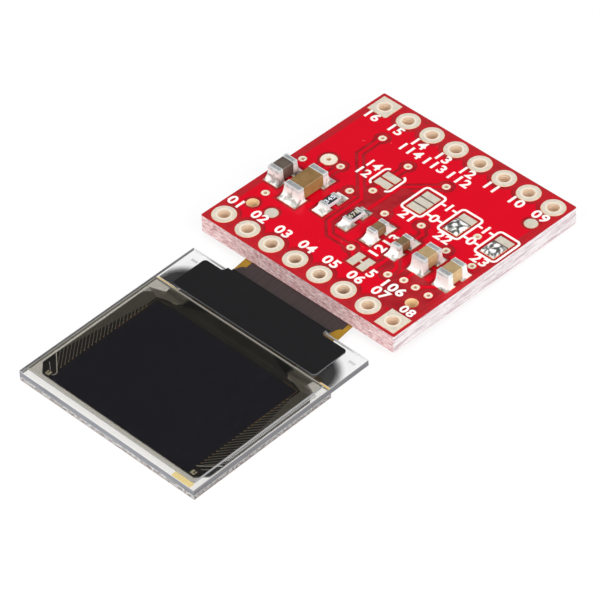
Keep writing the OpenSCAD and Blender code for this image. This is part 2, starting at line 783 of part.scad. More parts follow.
// One row track: out of the field on a slant, along its lane, inwards beside
// the column tracks, over the seal and along the ledge to the driver's end
function row_track(i) =
    let (start = field_near + row_start + i * row_track_spacing,
         out = field_w / 2 + lane_spacing,
         lane = bundle_x - i * lane_spacing,
         step = bundle_x - bundle_step - i * inner_spacing,
         landing = driver_y + track_end + (row_tracks_n - 1 - i) * landing_spacing)
    [[field_w / 2, start],
     [out, start],
     [lane, start + row_slope * (lane - out)],
     [lane, field_far + step_y[0] - i * step_shift[0]],
     [step, field_far + step_y[1] - i * step_shift[1]],
     [step, landing],
     [driver_l / 2 - track_end, landing]];

module row_tracks() color("dimgray") on_panel() slab(layer_z, layer_t)
    for (s = [0, 1], i = [0 : row_tracks_n - 1]) mirror([s, 0]) {
        track = row_track(i);
        ribbon([track[0], track[1], track[2]], fan_w);
        ribbon(track, lane_w);
    }

// One column track: straight out of the field, slanting in, straight to the driver
function column_track(i) =
    let (u = (i - (column_tracks_n - 1) / 2) / column_tracks_n,
         inner = u * (driver_l - 2 * column_inset[0]),
         outer = u * (field_w - 2 * column_inset[1]),
         bend = field_far + column_bend)
    [[outer, field_far],
     [outer, bend],
     [inner, bend + column_slope * abs(outer - inner)],
     [inner, driver_y + track_end]];

module column_tracks() color("dimgray") on_panel() slab(layer_z, layer_t)
    for (i = [0 : column_tracks_n - 1]) ribbon(column_track(i), lane_w);

// An L and a square in each near corner of the field
module alignment_marks() color("silver") on_panel() slab(layer_z, layer_t)
    for (s = [0, 1]) mirror([s, 0]) translate([field_w / 2, field_near] + mark_size / 4) {
        square([mark_size.x, mark_foot]);
        square([mark_size.x / 2, mark_size.y]);
        translate([mark_size.x - mark_foot, 1.5 * mark_foot])
            square([mark_foot, mark_size.y / 2]);
    }

// ---- driver chip, film and tape ----

module driver_chip() color("gray") on_panel()
    slab(layer_z - driver_h, driver_h) sheet(driver_l / 2, driver_y, driver_y + driver_w);

// The film's upper face, in Y and Z: along the ledge, across the gap, under the board
film_z = ledge_z - bond_t;
FILM_PATH = [[ledge_y - bond_l, film_z], [ledge_y + bend_out[0], film_z],
             board_point(bend_out[1], -cover_t), board_point(tail_l, -cover_t)];
cover_end = tail_l - contact_l - contact_gap;
COVER_PATH = [[ledge_y + cover_start, film_z], FILM_PATH[1], FILM_PATH[2],
              board_point(cover_end, -cover_t)];

module film_across() across(panel_dx - film_w / 2, panel_dx + film_w / 2) children();

module bond_strip() color("darkgoldenrod") on_panel()
    slab(film_z, bond_t) sheet(film_w / 2 - bond_side, panel_l - bond_l, panel_l);

module film_base() color("orange") film_across() polygon(band(FILM_PATH, -film_t, 0));

// A side of the cover layer, sweeping from one x at the ledge to another x
function sweep(from, to) = [for (i = [0 : 8])
    [from + (to - from) * (1 - cos(90 * i / 8)),
     ledge_y + cover_start + cover_sweep * sin(90 * i / 8)]];

// Outline of the cover layer seen from above
module cover_outline() {
    x0 = panel_dx - film_w / 2;
    x1 = panel_dx + film_w / 2;
    left_side = sweep(x0, x0 + cover_side[0]);
    right_side = sweep(x1 - cover_ledge, x1 - cover_side[1]);
    far = board_y + tail_l;
    polygon(concat([[x1 - cover_ledge, ledge_y]], right_side,
                   [[x1 - cover_side[1], far], [x0 + cover_side[0], far]],
                   [for (i = [8 : -1 : 0]) left_side[i]], [[x0, ledge_y]]));
}

module film_cover() color([0.25, 0.2, 0.2]) intersection() {
    film_across() polygon(band(COVER_PATH, 0, cover_t));
    slab(0, board_lift + panel_z) cover_outline();
}

module film_contacts() color("gold") on_board()
    slab(-cover_t, contact_t) contact_shape(0);

module film_solder() color("silver") on_board() {
    slab(contact_t - cover_t, cover_t - contact_t) contact_shape(0);
    slab(0, skin_t) contact_shape(0);
}

// The tape lies on the ledge, drops over its edge and ends on the film
TAPE_PATH = [[ledge_y - ledge_l, panel_z], [ledge_y + tape_over, panel_z],
             film_top(tape_landing), film_top(neck_l)];

// A point on top of the cover layer, at a distance beyond the film's first bend
function film_top(along) = COVER_PATH[1] + cover_t * mitre(COVER_PATH, 1)
    + along * unit(COVER_PATH[2] - COVER_PATH[1]);

module tape_outline() {
    y0 = ledge_y - ledge_l + tape_y[0];
    y1 = ledge_y - ledge_l + tape_y[1];
    x0 = panel_dx + neck_x[0];
    x1 = panel_dx + neck_x[1];
    polygon(rounded([panel_dx + tape_x[0], y0], [panel_dx + tape_x[1], y1], tape_r));
    polygon(concat(
        arc([x1 + tape_r, y1 + tape_r], tape_r, 270, 180),
        [[x1, ledge_y + neck_l], [x0, ledge_y + neck_l]],
        arc([x0 - tape_r, y1 + tape_r], tape_r, 0, -90),
        [[x0 - tape_r, y0 + tape_r], [x1 + tape_r, y0 + tape_r]]));
}

module black_tape() color([0.12, 0.12, 0.12]) intersection() {
    across(panel_dx - panel_w / 2, panel_dx + panel_w / 2)
        polygon(band(TAPE_PATH, 0, tape_t));
    slab(0, 2 * panel_z) tape_outline();
}

laminate_core();
copper_top();
copper_bottom();
mask_top();
mask_bottom();
header_pads();
vias();
test_point();
fiducials();
jumper_pads();
chip_pads();
solder_bridges();
print_lines();
capacitor(0, "dimgray");  // capacitor_1
capacitor(1, "darkkhaki");  // capacitor_2
capacitor(2, "peru");  // capacitor_3
capacitor(3, "peru");  // capacitor_4
capacitor(4, "burlywood");  // capacitor_5
capacitor(5, "burlywood");  // capacitor_6
capacitor_ends(0);  // capacitor_1_ends
capacitor_ends(1);  // capacitor_2_ends
capacitor_ends(2);  // capacitor_3_ends
capacitor_ends(3);  // capacitor_4_ends
capacitor_ends(4);  // capacitor_5_ends
capacitor_ends(5);  // capacitor_6_ends
resistor(0);  // resistor_1
resistor(1);  // resistor_2
resistor_ends(0);  // resistor_1_ends
resistor_ends(1);  // resistor_2_ends
resistor_coat(0);  // resistor_1_coat
resistor_coat(1);  // resistor_2_coat
solder(0);  // solder_1
solder(1);  // solder_2
solder(2);  // solder_3
solder(3);  // solder_4
solder(4);  // solder_5
solder(5);  // solder_6
solder(6);  // solder_7
solder(7);  // solder_8
front_glass();
polarizer();
cap_glass();
edge_seal();
getter_sheet();
active_field();
row_tracks();
column_tracks();
alignment_marks();
edge_patch();
driver_chip();
bond_strip();
film_base();
film_cover();
film_contacts();
film_solder();
black_tape();
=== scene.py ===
"""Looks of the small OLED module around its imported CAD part.

Metres, in the part's own frame. Sizes are written in millimetres times MM. Places on
the board are in its own axes: x along the pin rows, y across them, z out of its top.
"""

import json
import math

import bpy
from mathutils import Matrix, Vector

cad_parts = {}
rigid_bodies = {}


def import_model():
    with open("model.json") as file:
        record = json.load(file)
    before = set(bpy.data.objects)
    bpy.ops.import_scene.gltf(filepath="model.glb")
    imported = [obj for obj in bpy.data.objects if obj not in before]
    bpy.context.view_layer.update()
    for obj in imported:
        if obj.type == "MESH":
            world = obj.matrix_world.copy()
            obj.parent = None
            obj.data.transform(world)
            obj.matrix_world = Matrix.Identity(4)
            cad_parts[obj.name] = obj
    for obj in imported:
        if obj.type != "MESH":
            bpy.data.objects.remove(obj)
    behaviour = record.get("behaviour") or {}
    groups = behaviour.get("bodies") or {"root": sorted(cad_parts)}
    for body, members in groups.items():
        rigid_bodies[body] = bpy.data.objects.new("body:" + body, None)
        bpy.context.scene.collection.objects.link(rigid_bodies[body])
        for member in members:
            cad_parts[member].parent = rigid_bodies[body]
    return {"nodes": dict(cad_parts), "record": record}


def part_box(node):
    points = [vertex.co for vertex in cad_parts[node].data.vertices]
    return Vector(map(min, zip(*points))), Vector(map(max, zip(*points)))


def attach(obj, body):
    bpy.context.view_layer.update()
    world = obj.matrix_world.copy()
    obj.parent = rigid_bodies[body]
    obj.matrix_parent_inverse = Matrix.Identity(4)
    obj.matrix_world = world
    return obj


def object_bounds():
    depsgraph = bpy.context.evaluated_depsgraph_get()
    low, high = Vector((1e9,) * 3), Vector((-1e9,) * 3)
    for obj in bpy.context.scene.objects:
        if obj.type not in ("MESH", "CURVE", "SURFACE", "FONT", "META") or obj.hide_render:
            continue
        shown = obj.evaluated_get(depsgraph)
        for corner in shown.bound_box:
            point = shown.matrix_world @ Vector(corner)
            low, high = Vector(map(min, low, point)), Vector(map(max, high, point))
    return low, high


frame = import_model()
cad_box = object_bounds()
MM = 0.001

# ---- places on the board ----

MOUNTS = {m["name"]: m for m in frame["record"]["mounts"]}


def mount_place(name):
    return Vector(MOUNTS[name]["pos_m"])


def highest(node):
    """Height of a node's top along the board's own upward axis."""
    return max(UP.dot(v.co) for v in frame["nodes"][node].data.vertices)


UP = Vector(MOUNTS["far_hole_1"]["axis"]).normalized()
RIGHT = Vector((1, 0, 0))
BACK = UP.cross(RIGHT)
PITCH = (mount_place("far_hole_1") - mount_place("far_hole_2")).length
SKIN = 0.035 * MM           # how far the mask over copper stands above the bare mask
TOP = highest("mask_top")
MIDDLE = (mount_place("far_hole_1") + mount_place("near_hole_1")) / 2
MIDDLE += UP * (TOP - UP.dot(MIDDLE))
BOARD = Matrix((RIGHT, BACK, UP)).transposed().to_4x4()
BOARD.translation = MIDDLE

# ---- places on the panel ----

# x from its middle, y from its near edge, z from the table, all in millimetres
ACROSS, ALONG, UPRIGHT = (1, 0, 0), (0, 1, 0), (0, 0, 1)
GLASS = [Vector(p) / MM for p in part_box("front_glass")]
CAP = [Vector(p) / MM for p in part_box("cap_glass")]
PANEL_X = (GLASS[0].x + GLASS[1].x) / 2
PANEL_Y = GLASS[0].y
HALF_W = (GLASS[1].x - GLASS[0].x) / 2
LENGTH = GLASS[1].y - GLASS[0].y
LEDGE_Z = GLASS[0].z
PANEL_Z = GLASS[1].z
CAP_L = CAP[1].y - CAP[0].y
PANEL = Matrix.Translation((PANEL_X * MM, PANEL_Y * MM, 0))


def panel_box(node):
    """A node's box in the panel's own places."""
    low, high = (Vector(p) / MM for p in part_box(node))
    shift = Vector((PANEL_X, PANEL_Y, 0))
    return low - shift, high - shift


POLARIZER = panel_box("polarizer")
FIELD = panel_box("active_field")
TAPE = panel_box("black_tape")


# ---- material helpers ----

WHITE = (1, 1, 1, 1)


def srgb(r, g, b):
    """A colour as it reads on screen, from 0 to 255, as a shader's linear colour."""
    def linear(c):
        c /= 255
        return c / 12.92 if c <= 0.04045 else ((c + 0.055) / 1.055) ** 2.4
    return linear(r), linear(g), linear(b), 1.0


class Mat:
    """One node material, with short calls for what the surfaces here need."""

    def __init__(self, name, colour=(0.5, 0.5, 0.5, 1), roughness=0.5, **sockets):
        self.mat = bpy.data.materials.new(name)
        self.mat.use_nodes = True
        self.tree = self.mat.node_tree
        self.shader = self.tree.nodes["Principled BSDF"]
        self.shader.inputs["Base Color"].default_value = colour
        self.shader.inputs["Roughness"].default_value = roughness
        for key, value in sockets.items():
            self.shader.inputs[key.replace("_", " ")].default_value = value
        self.place = self.node("ShaderNodeTexCoord").outputs["Object"]

    def node(self, kind, **settings):
        made = self.tree.nodes.new(kind)
        for key, value in settings.items():
            setattr(made, key, value)
        return made

    def feed(self, socket, value):
        """Link another socket to this one, or set its value."""
        if isinstance(value, bpy.types.NodeSocket):
            self.tree.links.new(value, socket)
        else:
            socket.default_value = value

    # numbers

    def math(self, operation, a, b=0.0):
        made = self.node("ShaderNodeMath", operation=operation)
        self.feed(made.inputs[0], a)
        self.feed(made.inputs[1], b)
        return made.outputs[0]

    def plus(self, a, b):
        return self.math("ADD", a, b)

    def minus(self, a, b):
        return self.math("SUBTRACT", a, b)

    def times(self, a, b):
        return self.math("MULTIPLY", a, b)

    def repeat(self, value, step):
        """Rises from 0 to 1 over each step."""
        return self.math("FRACT", self.math("DIVIDE", value, step))

    def ramp(self, value, low, high, smooth=True):
        """0 below low, 1 above high. Works downwards too."""
        made = self.node("ShaderNodeMapRange",
                         interpolation_type="SMOOTHSTEP" if smooth else "LINEAR")
        self.feed(made.inputs["Value"], value)
        made.inputs["From Min"].default_value = low
        made.inputs["From Max"].default_value = high
        return made.outputs[0]

    # places and directions

    def geometry(self, output):
        return self.node("ShaderNodeNewGeometry").outputs[output]

    def dot(self, axis, vector=None):
        """How far a point, or another vector, lies along an axis."""
        made = self.node("ShaderNodeVectorMath", operation="DOT_PRODUCT")
        self.feed(made.inputs[0], vector or self.place)
        self.feed(made.inputs[1], axis)
        return made.outputs["Value"]

    def behind_middle(self):
        """How far a point lies behind the board's middle."""
        return self.minus(self.dot(BACK), BACK.dot(MIDDLE))

    def off_middle(self):
        """How far a point lies from the board's middle, along each of its sides."""
        return (self.math("ABSOLUTE", self.dot(RIGHT)),
                self.math("ABSOLUTE", self.behind_middle()))

    def facing(self, axis, low=0.4, high=0.6):
        """1 on faces that look along an axis, either way, 0 on faces beside it."""
        along = self.math("ABSOLUTE", self.dot(axis, self.geometry("True Normal")))
        return self.ramp(along, low, high)

    def outer(self):
        """1 on a face seen from outside, 0 from within."""
        return self.minus(1.0, self.geometry("Backfacing"))

    def rounded(self, radius):
        """Normals as if the piece's edges were rounded off."""
        made = self.node("ShaderNodeBevel", samples=6)
        made.inputs["Radius"].default_value = radius
        return made.outputs[0]

    def edge(self, radius):
        """1 close to an edge of the piece, 0 away from one."""
        turned = self.dot(self.rounded(radius), self.geometry("True Normal"))
        return self.ramp(turned, 0.99, 0.85)

    # patterns and colours

    def stretched(self, scale, turn=(0, 0, 0)):
        made = self.node("ShaderNodeMapping")
        self.feed(made.inputs["Vector"], self.place)
        made.inputs["Rotation"].default_value = turn
        made.inputs["Scale"].default_value = scale
        return made.outputs[0]

    def noise(self, scale, detail=3.0, rough=0.5, vector=None, distortion=0.0):
        made = self.node("ShaderNodeTexNoise")
        self.feed(made.inputs["Vector"], vector or self.place)
        made.inputs["Scale"].default_value = scale
        made.inputs["Detail"].default_value = detail
        made.inputs["Roughness"].default_value = rough
        made.inputs["Distortion"].default_value = distortion
        return made.outputs["Fac"]

    def mix(self, factor, a, b, share=None):
        """Colour a where the factor is 0, and b, or a share of it, where it is 1."""
        made = self.node("ShaderNodeMix", data_type="RGBA")
        self.feed(made.inputs["Factor"], self.times(factor, share) if share else factor)
        self.feed(made.inputs[6], a)
        self.feed(made.inputs[7], b)
        return made.outputs[2]

    # surfaces

    def blend(self, factor, a, b):
        """Two surfaces, mixed."""
        made = self.node("ShaderNodeMixShader")
        self.feed(made.inputs[0], factor)
        self.feed(made.inputs[1], a)
        self.feed(made.inputs[2], b)
        return made.outputs[0]

    def clear(self, tint):
        made = self.node("ShaderNodeBsdfTransparent")
        made.inputs["Color"].default_value = tint
        return made.outputs[0]

    def sheen(self, ior=1.5, roughness=0.02):
        """How much an outer face reflects, and the reflection."""
        fresnel = self.node("ShaderNodeFresnel")
        fresnel.inputs["IOR"].default_value = ior
        gloss = self.node("ShaderNodeBsdfGlossy")
        gloss.inputs["Roughness"].default_value = roughness
        return self.times(fresnel.outputs[0], self.outer()), gloss.outputs[0]

    def surface(self, value):
        self.feed(self.tree.nodes["Material Output"].inputs["Surface"], value)

    def pass_light(self, surface, tint):
        """Lamps and bounced light go through as if it weren't there, a little tinted."""
        path = self.node("ShaderNodeLightPath")
        dim = self.math("MAXIMUM", path.outputs["Is Shadow Ray"], path.outputs["Is Diffuse Ray"])
        self.surface(self.blend(dim, surface, self.clear(tint)))

    def colour(self, value):
        self.feed(self.shader.inputs["Base Color"], value)

    def bump(self, height, strength, distance, rounding=0.0):
        """Relief, with edges rounded off by the given radius."""
        made = self.node("ShaderNodeBump")
        made.inputs["Strength"].default_value = strength
        made.inputs["Distance"].default_value = distance
        self.feed(made.inputs["Height"], height)
        if rounding:
            self.feed(made.inputs["Normal"], self.rounded(rounding))
        self.feed(self.shader.inputs["Normal"], made.outputs["Normal"])


def dress(nodes, mat):
    for name in nodes:
        data = frame["nodes"][name].data
        data.materials.clear()
        data.materials.append(mat.mat)


def clouded(name, noise_scale, a, b, roughness, detail=3.0, **sockets):
    """A plain material whose colour wanders between two tones."""
    m = Mat(name, roughness=roughness, **sockets)
    m.colour(m.mix(m.noise(noise_scale, detail), a, b))
    return m


# ---- board materials ----

def mask_material():
    """Glossy red mask: bright where copper lies below it, darker where none does."""
    m = Mat("red_solder_mask", roughness=0.16)
    m.shader.inputs["Specular IOR Level"].default_value = 0.42
    m.shader.inputs["Specular Tint"].default_value = (1.0, 0.16, 0.3, 1.0)
    x, y = m.off_middle()
    raised = m.ramp(m.dot(UP), TOP - 0.8 * SKIN, TOP - 0.2 * SKIN)
    within_rim = m.ramp(m.math("MAXIMUM", x, y), 9.5 * MM, 9.35 * MM)
    border = m.math("MAXIMUM", m.ramp(x, 9.3 * MM, 9.6 * MM), m.ramp(y, 7.6 * MM, 9.2 * MM))
    bare = m.mix(border, srgb(150, 22, 30), srgb(184, 28, 38))
    bare = m.mix(m.ramp(m.noise(900, 2), 0.35, 0.7), bare, srgb(168, 34, 40))
    red = m.mix(m.noise(260, 4), srgb(204, 0, 24), srgb(212, 0, 32))
    dust = m.ramp(m.noise(2600, 1), 0.8, 0.82)
    red = m.mix(dust, red, srgb(236, 120, 130), 0.3)
    m.colour(m.mix(m.times(raised, within_rim), bare, red))
    m.bump(m.noise(700, 2), 0.05, 0.02 * MM)
    return m


def core_material():
    """Cut glass-fibre laminate, tan where drilled; its ends pale and its sides pinker as painted
    light, by the way each face points.
    """
    m = Mat("fibre_laminate", roughness=0.6)
    layers = m.noise(1, 6, 0.7, m.stretched((1800, 1800, 9000), (0.035, 0.0, 0.0)))
    grain = m.noise(1, 4, 0.7, m.stretched((2400, 3000, 7000), (0.3, 0.2, 0.6)))
    side = m.mix(m.ramp(layers, 0.36, 0.62), srgb(206, 158, 158), srgb(238, 206, 206))
    side = m.mix(m.ramp(grain, 0.52, 0.64), side, srgb(160, 86, 88), 0.7)
    side = m.mix(m.ramp(grain, 0.45, 0.36), side, srgb(255, 246, 244), 0.8)
    streak = m.noise(1, 5, 0.7, m.stretched((900, 420, 8200), (0.5, 0.0, 0.1)))
    pale = m.mix(m.ramp(streak, 0.46, 0.6), srgb(216, 210, 211), srgb(178, 158, 162))
    pale = m.mix(m.ramp(grain, 0.56, 0.66), pale, srgb(150, 112, 118), 0.35)
    x, y = m.off_middle()
    inner = m.times(m.ramp(x, 10.0 * MM, 9.9 * MM), m.ramp(y, 9.9 * MM, 9.8 * MM))
    drilled = m.mix(grain, srgb(255, 232, 190), srgb(226, 182, 124))
    # painted light: the cut faces take paler or pinker colours by the way they face
    m.colour(m.mix(inner, m.mix(m.facing(RIGHT), side, pale), drilled))
    m.bump(layers, 0.3, 0.02 * MM)
    return m


def plating_material(name, pad, wall, painted_deep_shade):
    """Tinned copper: beige and matte on the face; tan down the hole, turning browner further down
    as painted shade.
    """
    m = Mat(name, roughness=0.38, Metallic=0.25)
    depth = m.dot(UP)
    grain = m.noise(2400, 3, 0.6)
    face = m.mix(m.ramp(grain, 0.3, 0.75), pad, tuple(0.86 * c for c in pad[:3]) + (1,))
    scratch = m.noise(1, 2, 0.5, m.stretched((1500, 5200, 1500), (0, 0, 0.7)))
    face = m.mix(m.ramp(scratch, 0.7, 0.76), face, srgb(150, 140, 128), 0.5)
    # painted shade: the walls darken further down the hole
    inside = m.mix(m.ramp(depth, TOP - 0.25 * MM, TOP - 1.1 * MM), wall, painted_deep_shade)
    wobble = m.times(m.noise(1600, 3), 14.0)
    rings = m.math("SINE", m.plus(m.math("DIVIDE", depth, 0.028 * MM), wobble))
    inside = m.mix(m.ramp(rings, 0.1, 0.8), inside, painted_deep_shade, 0.5)
    inside = m.mix(m.ramp(rings, -0.2, -0.9), inside, srgb(255, 244, 226), 0.6)
    m.colour(m.mix(m.ramp(depth, TOP - 0.02 * MM, TOP - 0.07 * MM), face, inside))
    m.bump(grain, 0.12, 0.01 * MM)
    return m


def header_material():
    """Header pads: as the plating, with a painted highlight on the rounded lip around each hole.
    """
    # the header's wall colours are brightened as painted light in the holes
    m = plating_material("header_plating", srgb(236, 224, 206), srgb(255, 232, 204),
                         srgb(206, 160, 118))
    dx = m.minus(m.repeat(m.dot(RIGHT), PITCH), 0.5)
    dy = m.minus(m.repeat(m.behind_middle(), PITCH), 0.5)
    from_hole = m.times(m.math("SQRT", m.plus(m.times(dx, dx), m.times(dy, dy))), PITCH)
    # painted highlight on the rounded lip around each hole
    lip_highlight = m.ramp(from_hole, 0.7 * MM, 0.6 * MM)
    near_face = m.ramp(m.dot(UP), TOP - 0.06 * MM, TOP - 0.02 * MM)
    plating = m.shader.inputs["Base Color"].links[0].from_socket
    m.colour(m.mix(m.times(lip_highlight, near_face), plating, srgb(250, 238, 220)))
    return m


def solder_material(name, dark, bright, roughness):
    """Bright tin with painted light: white painted highlights and darker patches as painted
    reflections, darker towards the foot.
    """
    m = Mat(name, roughness=roughness, Metallic=0.12)
    # darker towards the foot of the solder
    low = m.times(m.ramp(m.dot(UP), TOP + 0.5 * MM, TOP), 0.12)
    glint_pattern = m.minus(m.noise(1150, 2, 0.5, distortion=0.5), low)
    # painted light: the dark patches are painted reflections and the white ones painted
    # highlights
    shade = m.mix(m.ramp(glint_pattern, 0.22, 0.3), srgb(96, 94, 88), dark)
    m.colour(m.mix(m.ramp(glint_pattern, 0.32, 0.42), shade, bright))
    m.bump(glint_pattern, 0.5, 0.06 * MM)
    return m


def bridge_material():
    """Solder that closed a jumper: white lobes as painted highlights, with dark branching creases
    between as painted shade.
    """
    m = Mat("bridge_solder", roughness=0.2, Metallic=0.1)
    cells = m.node("ShaderNodeTexVoronoi", feature="DISTANCE_TO_EDGE")
    m.feed(cells.inputs["Vector"], m.stretched((1500, 1150, 1150), (0.15, 0.65, 0.4)))
    cells.inputs["Scale"].default_value = 1.0
    ragged = m.times(m.minus(m.noise(1900, 3), 0.5), 0.9)
    creases = m.plus(cells.outputs["Distance"], ragged)
    # painted shade in the creases and painted highlights on the white lobes
    tone = m.mix(m.ramp(creases, 0.0, 0.14), srgb(76, 78, 76), srgb(160, 160, 156))
    m.colour(m.mix(m.ramp(creases, 0.1, 0.22), tone, srgb(250, 250, 250)))
    m.bump(creases, 0.3, 0.08 * MM)
    return m


def terminal_material():
    """Matte tin ends of the chip parts, with painted light: grey on top, nearly white at the
    sides, and a painted highlight along the edges.
    """
    m = Mat("tin_ends", roughness=0.42, Metallic=0.1)
    spots = m.noise(3600, 4, 0.65)
    cloud = m.noise(1500, 4, 0.65, distortion=0.8)
    side = m.mix(m.ramp(cloud, 0.34, 0.56), srgb(166, 170, 170), srgb(220, 230, 228))
    top = m.mix(m.ramp(spots, 0.3, 0.7), srgb(136, 138, 138), srgb(164, 166, 166))
    # painted light: the top faces greyer and the sides whiter, as if lit from the side
    body = m.mix(m.facing(UP, 0.5, 0.8), side, top)
    # painted highlight along the edges
    m.colour(m.mix(m.edge(0.16 * MM), body, srgb(246, 248, 248)))
    m.bump(spots, 0.04, 0.01 * MM, 0.12 * MM)
    return m


def ceramic_material(name, base, dark):
    """Body of a chip part: cloudy and specked, with painted shade darkening its top and painted
    highlights on its edges.
    """
    m = Mat(name, roughness=0.42)
    cloud = m.noise(1300, 4, 0.6)
    body = m.mix(m.ramp(cloud, 0.3, 0.7), base, dark)
    body = m.mix(m.ramp(m.noise(5200, 2), 0.62, 0.7), body, dark, 0.35)
    # painted shade: the top faces darkened
    body = m.mix(m.facing(UP, 0.5, 0.8), body, (0, 0, 0, 1), 0.3)
    # painted highlight on the edges
    m.colour(m.mix(m.edge(0.09 * MM), body, srgb(250, 244, 236), 0.7))
    m.bump(cloud, 0.12, 0.02 * MM, 0.06 * MM)
    return m


def print_material():
    m = clouded("white_print", 2600, srgb(250, 246, 242), srgb(236, 230, 226), 0.55)
    m.bump(m.noise(4200, 2), 0.1, 0.01 * MM)
    return m


# ---- panel and film materials ----

def glass_material(name, low, high, rough_cut):
    """Clear through its flat faces; its cut sides are grey with broken lines, a painted highlight
    along their top and painted shade on those facing across, and the ledge's far end is pale as
    painted light.
    """
    m = Mat(name, roughness=0.35)
    rise = m.ramp(m.dot(UPRIGHT), low * MM, high * MM, smooth=False)
    streak = m.noise(1, 4, 0.6, m.stretched((260, 260, 9000)))
    chips = m.noise(1, 6, 0.75, m.stretched((3600, 3600, 5200)))
    grey = m.mix(m.ramp(streak, 0.35, 0.65), srgb(112, 114, 120), srgb(138, 140, 146))
    # painted highlight: a bright line along the top of the cut sides
    grey = m.mix(m.ramp(rise, 0.88, 0.97), grey, srgb(236, 236, 236))
    broken = m.mix(m.ramp(chips, 0.42, 0.56), srgb(112, 102, 98), srgb(204, 202, 202))
    broken = m.mix(m.ramp(rise, 0.3, 0.05), broken, srgb(150, 128, 118))
    # painted shade: the cut sides that face across are darkened by half
    cut = m.mix(m.facing(ACROSS), m.mix(rough_cut, grey, broken), srgb(64, 58, 56), 0.5)
    # painted light: the ledge's far end face is pale
    far = PANEL_Y + LENGTH
    back = m.ramp(m.dot(ALONG), (far - 0.02) * MM, (far - 0.01) * MM)
    pale = m.mix(m.ramp(streak, 0.4, 0.6), srgb(236, 234, 234), srgb(255, 255, 255))
    m.colour(m.mix(m.times(back, m.facing(ALONG)), cut, pale))
    m.bump(chips, 0.4 * rough_cut, 0.03 * MM)

    bend = m.node("ShaderNodeBsdfRefraction")
    bend.inputs["IOR"].default_value = 1.5
    bend.inputs["Color"].default_value = (0.972, 0.97, 0.972, 1)
    amount, gloss = m.sheen()
    aside = m.math("ABSOLUTE", m.minus(m.dot(ACROSS), PANEL_X * MM))
    film_end = PANEL_Y + POLARIZER[1].y
    beside = m.ramp(aside, (HALF_W - 0.5) * MM, (HALF_W - 0.4) * MM)
    behind = m.ramp(m.dot(ALONG), film_end * MM, (film_end + 0.05) * MM)
    bare = m.math("MAXIMUM", beside, behind)
    flat = m.blend(m.times(amount, bare), bend.outputs[0], gloss)
    on_side = m.facing(UPRIGHT, 0.6, 0.4)
    m.pass_light(m.blend(on_side, flat, m.shader.outputs[0]), (0.95, 0.96, 0.955, 1))
    return m


def clear_material(name, tint, shadow):
    m = Mat(name)
    m.pass_light(m.clear(tint), shadow)
    return m


def polarizer_material():
    """Neutral grey film: a sheen on top, and half of the light gets through."""
    m = Mat("polarizing_film", srgb(196, 194, 188))
    amount, gloss = m.sheen(1.32)
    body = m.blend(m.outer(), m.clear(WHITE), m.clear((0.54, 0.523, 0.475, 1)))
    flat = m.blend(amount, body, gloss)
    m.pass_light(m.blend(m.facing(UPRIGHT), m.shader.outputs[0], flat), (0.74, 0.73, 0.70, 1))
    return m


def field_material():
    """Near-black electrode field with very fine stripes."""
    m = Mat("electrode_field", roughness=0.6)
    stripe = m.ramp(m.repeat(m.dot(RIGHT), 0.115 * MM), 0.08, 0.0)
    m.colour(m.mix(stripe, srgb(2, 2, 32), srgb(16, 16, 42), 0.4))
    return m


def track_material(name, a, b):
    return clouded(name, 1800, a, b, 0.4, Metallic=0.1)


def cover_material():
    """Dark layer over the film's copper tracks, which show as faint ribs lengthwise."""
    m = Mat("film_cover", roughness=0.42)
    rib = m.repeat(m.dot(RIGHT), 0.3 * MM)
    ridge = m.times(m.ramp(rib, 0.0, 0.3), m.ramp(rib, 1.0, 0.7))
    streak = m.noise(1, 4, 0.6, m.stretched((7000, 300, 300)))
    tone = m.mix(m.ramp(streak, 0.3, 0.7), srgb(42, 34, 34), srgb(56, 46, 45))
    m.colour(m.mix(ridge, tone, srgb(58, 46, 46), 0.25))
    m.bump(ridge, 0.15, 0.01 * MM)
    return m


def tape_material():
    """Satin black, with its cut edges pale as a painted highlight."""
    m = Mat("black_tape", roughness=0.5)
    m.shader.inputs["Specular IOR Level"].default_value = 0.3
    black = m.mix(m.noise(1200, 4), srgb(7, 7, 10), srgb(13, 13, 16))
    dust = m.ramp(m.noise(2600, 1), 0.8, 0.83)
    black = m.mix(dust, black, srgb(150, 150, 150), 0.4)
    # painted highlight: the cut edges are pale
    m.colour(m.mix(m.facing(UPRIGHT, 0.6, 0.4), black, srgb(112, 114, 118)))
    m.bump(m.noise(2600, 3), 0.08, 0.02 * MM)
    return m


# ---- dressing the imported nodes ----

PRINTED = print_material()


def dress_board():
    dress(["mask_top", "mask_bottom"], mask_material())
    dress(["laminate_core"], core_material())
    dress(["copper_top", "copper_bottom"], clouded(
        "copper", 1500, srgb(200, 120, 74), srgb(176, 98, 58), 0.4, Metallic=0.9))
    dress(["header_pads"], header_material())
    # the via wall colours are brightened as painted light in the holes
    dress(["vias", "test_point"], plating_material(
        "via_plating", srgb(255, 242, 222), srgb(246, 206, 158), srgb(226, 170, 116)))
    dress(["fiducials", "jumper_pads"], plating_material(
        "pad_plating", srgb(224, 216, 200), srgb(224, 216, 200), srgb(200, 190, 170)))
    dress(["solder_bridges"], bridge_material())
    dress(["chip_pads"], solder_material(
        "pad_solder", srgb(150, 146, 140), srgb(226, 222, 214), 0.4))
    dress(["solder_%d" % i for i in range(1, 9)] + ["film_solder"], solder_material(
        "fillet_solder", srgb(176, 172, 166), srgb(244, 244, 240), 0.3))
    dress(["print_lines"], PRINTED)


